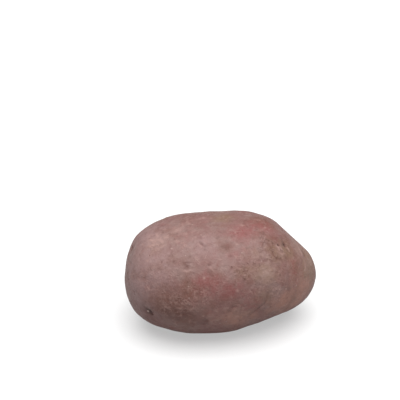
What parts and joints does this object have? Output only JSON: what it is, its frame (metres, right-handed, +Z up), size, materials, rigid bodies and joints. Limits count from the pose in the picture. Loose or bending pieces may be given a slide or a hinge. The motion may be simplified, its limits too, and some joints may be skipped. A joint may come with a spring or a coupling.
{
  "type": "potato",
  "caption": "Whole oval red-skinned potato, broad at the rose end and narrower at the stalk end, lying on its flatter side.",
  "frame": {"origin": "on the floor, under the middle of the potato's length and breadth", "axes": "+Z up; +X along the potato's length, from the broad rose end to the narrow stalk end; -Y is the side with the pitted cheek eye"},
  "size_m": [0.1008, 0.0724, 0.0593],
  "materials": {
    "potato_skin": "dusty matte skin"
  },
  "bodies": {
    "root": {"potato": "potato_skin"}
  },
  "joints": []
}
